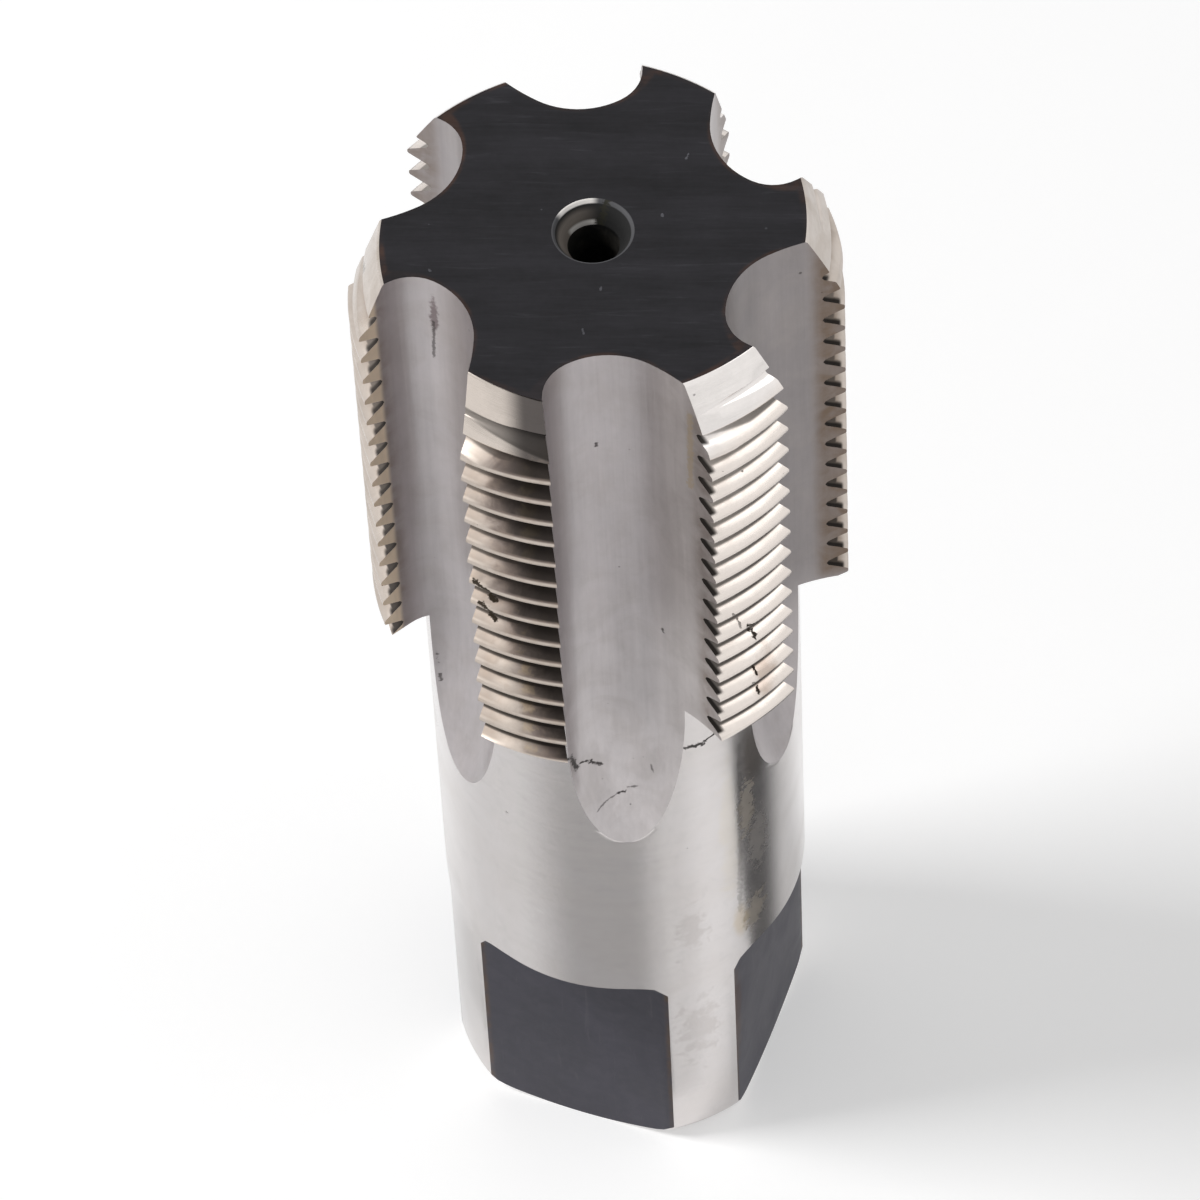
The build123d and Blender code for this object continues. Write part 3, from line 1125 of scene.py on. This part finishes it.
def black_face():
    """Front face: blackened, with fine short lines across it, brown at its edges, and pale specks."""
    finish = Finish("black face", (0.0165, 0.0158, 0.0185), 0.0, 0.5, 0.16)
    lines = finish.stretched(0.25, 2.6, 1.0, turn=-18.0)
    height, tone = finish.tool_marks(point=lines, fineness=1.3)
    _, grain = finish.tool_marks(fineness=2.2)
    along, side = finish.beside_flute()
    off_floor = ((along - floor_centre) * (along - floor_centre) + side * side).math("SQRT") - floor_radius
    off_land = lead_cone_radius - 0.04 - finish.radius
    cloud = finish.stain(per_mm=0.28, cover=0.4, softness=0.12)
    rim = off_floor.least(off_land).rise(0.35, 0.05) * (0.1 + cloud * 0.7)
    finish.tint(rust_brown, rim * 0.6)
    rubs = finish.stain(point=lines, per_mm=0.9, cover=0.15, softness=0.12)
    specks = finish.specks(per_mm=0.75, size=0.1, share=0.12)
    nicks = finish.marks(
        ((3.8, 7.75, 93.0), (3.8, 8.15, 93.0), 0.09),
        ((3.85, 2.75, 93.0), (3.95, 2.65, 93.0), 0.1),
        ((2.12, -4.25, 93.0), (2.18, -4.5, 93.0), 0.09),
        ((2.15, -7.9, 93.0), (2.35, -8.3, 93.0), 0.08),
        ((-9.1, -6.5, 93.0), (-9.05, -6.55, 93.0), 0.1),
    )
    finish.tint((0.12, 0.12, 0.135), (rubs * 0.12).most(specks * 0.35, nicks * 0.6))
    finish.shade(tone * 0.75 + grain * 0.35)
    return finish.paint(0.5 + tone * 0.12, height, 0.008)


def black_flat():
    """Flats of the driving square: blackened and slightly rubbed, brown along their sides."""
    finish = Finish("black flat", (0.047, 0.0445, 0.060), 0.0, 0.42, 0.28)
    lines = finish.stretched(1.0, 1.0, 0.35)
    height, tone = finish.tool_marks(point=lines, fineness=1.5)
    rubs = finish.stain(per_mm=0.22, cover=0.5, softness=0.2)
    mottle = finish.stain(per_mm=0.9, cover=0.45, softness=0.2)
    finish.tint((0.076, 0.073, 0.094), rubs * 0.6 + mottle * 0.3)
    inner = finish.x.math("ABSOLUTE").least(finish.y.math("ABSOLUTE"))
    half_width = sqrt(shank_radius**2 - square_half**2)
    cloud = finish.stain(per_mm=0.5, cover=0.5, softness=0.15)
    edge = (half_width - inner).rise(0.5, 0.1)
    finish.tint((0.12, 0.075, 0.05), edge * (0.2 + cloud * 0.6))
    scratches = finish.stain(point=finish.stretched(2.2, 2.2, 0.2), per_mm=0.9, cover=0.14, softness=0.08)
    upper = finish.patch((11.0, -1.0, 15.0), (2.0, 6.0, 6.0), raggedness=0.5, per_mm=0.4)
    reddened = finish.patch((11.0, -7.0, 13.0), (1.5, 1.4, 8.0), raggedness=0.7, per_mm=0.6)
    finish.tint((0.17, 0.17, 0.19), (scratches * 0.15).most(scratches * upper * 0.7))
    finish.tint(rust_brown, reddened * 0.6)
    specks = finish.specks(per_mm=0.7, size=0.14, share=0.08)
    finish.tint((0.14, 0.14, 0.16), specks * 0.3)
    finish.shade(tone * 0.16)
    return finish.paint(0.42 + rubs * 0.1, height, 0.004)


def centre_cone():
    """The centre holes' cones: a thin grey rim, a painted highlight in pale arcs and a painted lit side on
    the left, and painted shade, near black, on the rest.
    """
    finish = Finish("centre cone", (0.012, 0.012, 0.012), 1.0, 0.3, 0.3)
    rings = finish.stretched(0.3, 0.3, 9.0)
    _, tone = finish.tool_marks(point=rings, fineness=1.0)
    rim = finish.radius.rise(2.5, 2.56)
    # Painted highlight and painted light on the left of the cone
    highlight_side = finish.off_angle(138).rise(radians(38), radians(24))
    lit_left_side = finish.off_angle(180).rise(radians(85), radians(30))
    pale = highlight_side * rim.most(finish.radius.rise(1.98, 1.88))
    finish.tint((0.24, 0.21, 0.185), lit_left_side * finish.radius.rise(2.5, 2.2))
    finish.tint((0.08, 0.08, 0.085), rim)
    finish.tint((0.80, 0.77, 0.74), pale)
    notch = finish.marks(((0.0, 2.64, 93.0), (-0.2, 1.7, 91.6), 0.32))
    finish.tint((0.02, 0.019, 0.012), notch * 0.95)
    finish.shade(tone * 0.35)
    return finish.paint(0.3 + tone * 0.08, tone, 0.006, 1.0 - rim * 0.3)


def drilled_hole():
    """Inside the centre holes: painted shade, near black, with a cloudy mottle."""
    finish = Finish("drilled hole", (0.004, 0.004, 0.004), 0.0, 0.6, 0.2)
    cloud = finish.stain(per_mm=0.8, cover=0.4, softness=0.2)
    finish.tint((0.02, 0.018, 0.015), cloud)
    return finish.paint(0.55 + cloud * 0.2, cloud, 0.01)


finishes = {material.name: material for material in (
    ground_thread(), ground_shank(), milled_flute(), black_face(), black_flat(), centre_cone(),
    drilled_hole(),
)}
tap = pipe_tap(finishes)
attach(tap, "root")
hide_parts("pipe_tap")


# Studio

# The camera's place, and its sideways and downward directions
camera_place = (129.24, -313.74, 523.52)
camera_right = (0.93930, 0.34161, -0.03194)
camera_down = (0.26024, -0.77003, -0.58251)
camera_lens = 248.18

# Where the lines that the shank reflects run together on the floor, for the front and the right
front_centre = (2.8, -6.5)
right_centre = (8.0, -6.8)

# The painted shadow cards' inner and outer edges in metres, and where in millimetres they fade away
card_edges = (0.0165, 0.064)
card_fade = (62.0, 48.0)
floor_glow = 0.36
even_light = 0.3


def add_camera():
    """Long lens, looking down on the cutting end as in the photograph."""
    data = bpy.data.cameras.new("camera")
    data.sensor_width = 36.0
    data.lens = camera_lens
    data.clip_start = 0.01
    right, down = Vector(camera_right), Vector(camera_down)
    turn = Matrix((right, -down, down.cross(right))).transposed().to_4x4()
    camera = add_object("camera", data)
    camera.matrix_world = Matrix.Translation(Vector(camera_place) * MM) @ turn
    bpy.context.scene.camera = camera


def direction(azimuth, elevation):
    flat = cos(radians(elevation))
    return Vector((flat * cos(radians(azimuth)), flat * sin(radians(azimuth)), sin(radians(elevation))))


def facing_tap(azimuth, elevation, distance, height):
    """Place of a lamp or board that faces a height on the tap's axis, in metres."""
    aim = direction(azimuth, elevation)
    turn = aim.to_track_quat("Z", "Y").to_matrix().to_4x4()
    return Matrix.Translation(Vector((0, 0, height)) + aim * distance) @ turn


def add_softbox(name, place, width, power):
    data = bpy.data.lights.new(name, "AREA")
    data.shape = "SQUARE"
    data.size = width
    data.energy = power
    add_object(name, data).matrix_world = place


def seen_rays(tree):
    """1 for what the camera sees, straight or in a reflection."""
    path = tree.nodes.new("ShaderNodeLightPath")
    return Field(tree, path.outputs["Is Camera Ray"]).most(
        path.outputs["Is Glossy Ray"], path.outputs["Is Transmission Ray"])


def board_finish(name, colour, mottled):
    """Matt paint, slightly mottled."""
    finish = Finish(name, colour, 0.0, 0.9)
    mottle = finish.stain(per_mm=0.02, cover=0.5, softness=0.3)
    finish.tint(mottled, mottle)
    finish.paint(0.9 + mottle * 0.05, mottle, 0.01)
    return finish


def stage_piece(name, bm, finish):
    piece = add_object(name, mesh_from(name, bm, [finish.material]))
    return piece


def reflected_piece(name, bm, finish):
    """A piece of the stage that only the steel's reflections see."""
    piece = stage_piece(name, bm, finish)
    piece.visible_camera = False
    piece.visible_diffuse = False
    piece.visible_shadow = False


def add_floor():
    """Pale floor that is white to the camera and keeps the tap's soft shadow."""
    finish = board_finish("pale floor", (0.77, 0.77, 0.77), (0.75845, 0.75845, 0.75845))
    finish.shader.inputs["Emission Color"].default_value = (1, 1, 1, 1)
    connect(finish.tree, seen_rays(finish.tree) * floor_glow, finish.shader.inputs["Emission Strength"])
    bm = bmesh.new()
    bmesh.ops.create_circle(bm, cap_ends=True, segments=96, radius=0.5)
    stage_piece("floor", bm, finish)


def add_overhead_board(place, half_width):
    """Brown board over the tap, which keeps the front face dark."""
    finish = board_finish("overhead_board", (0.07, 0.052, 0.042), (0.06895, 0.05122, 0.04137))
    bm = bmesh.new()
    bmesh.ops.create_grid(bm, x_segments=1, y_segments=1, size=half_width)
    bmesh.ops.transform(bm, verts=bm.verts, matrix=place)
    reflected_piece("overhead_board", bm, finish)


def add_soft_card(name, share, height, centre, first, full_from, full_to, last):
    """Painted shadow: a dark card round part of the tap's foot, seen only in reflections, whose ends fade
    into the floor at these angles.
    """
    finish = board_finish(name, (0.035, 0.033, 0.033), (0.03, 0.029, 0.029))
    middle = (first + last) / 2
    centre_x, centre_y = centre
    turn = (finish.y - centre_y).math("ARCTAN2", finish.x - centre_x)
    turn = (turn - radians(middle)).wrap(radians(180))
    shown = turn.rise(radians(first - middle), radians(full_from - middle))
    shown = shown * turn.rise(radians(last - middle), radians(full_to - middle))
    shown = shown * finish.radius.rise(*card_fade) * share
    connect(finish.tree, shown, finish.shader.inputs["Alpha"])
    bm = bmesh.new()
    rows = [[bm.verts.new(direction(azimuth, 0) * reach + Vector((0, 0, height)))
             for reach in card_edges] for azimuth in steps(first, last, 40)]
    for (inner, outer), (next_inner, next_outer) in zip(rows, rows[1:]):
        bm.faces.new((inner, outer, next_outer, next_inner))
    reflected_piece(name, bm, finish)


def add_world():
    """White background, and an even light from all round."""
    world = bpy.data.worlds.new("studio")
    bpy.context.scene.world = world
    world.use_nodes = True
    tree = world.node_tree
    tree.nodes.clear()
    light, white = (add_node(tree, "ShaderNodeBackground", {
        "Color": (1, 1, 1, 1), "Strength": strength,
    }).outputs[0] for strength in (even_light, 1.0))
    both = add_node(tree, "ShaderNodeMixShader", {0: seen_rays(tree), 1: light, 2: white})
    add_node(tree, "ShaderNodeOutputWorld", {"Surface": both.outputs[0]})


add_floor()
add_world()
add_camera()
add_softbox("left softbox", facing_tap(200, 45, 0.9, 0.05), 0.28, 5.5)
add_softbox("right softbox", facing_tap(15, 60, 0.9, 0.05), 0.5, 0.72)
add_overhead_board(facing_tap(-108, 62, 0.4, 0.075), 0.13)
# Painted shadow on the floor for the steel's reflections: in front of the tap and to its right
add_soft_card("wide_card", 0.2, 0.0006, front_centre, -200, -160, -37, -15)
add_soft_card("front_card", 0.46, 0.0009, front_centre, -140, -100, -66, -38)
add_soft_card("dark_card", 0.88, 0.0012, right_centre, -5, 1, 30, 52)
bpy.context.scene.view_settings.view_transform = "Standard"
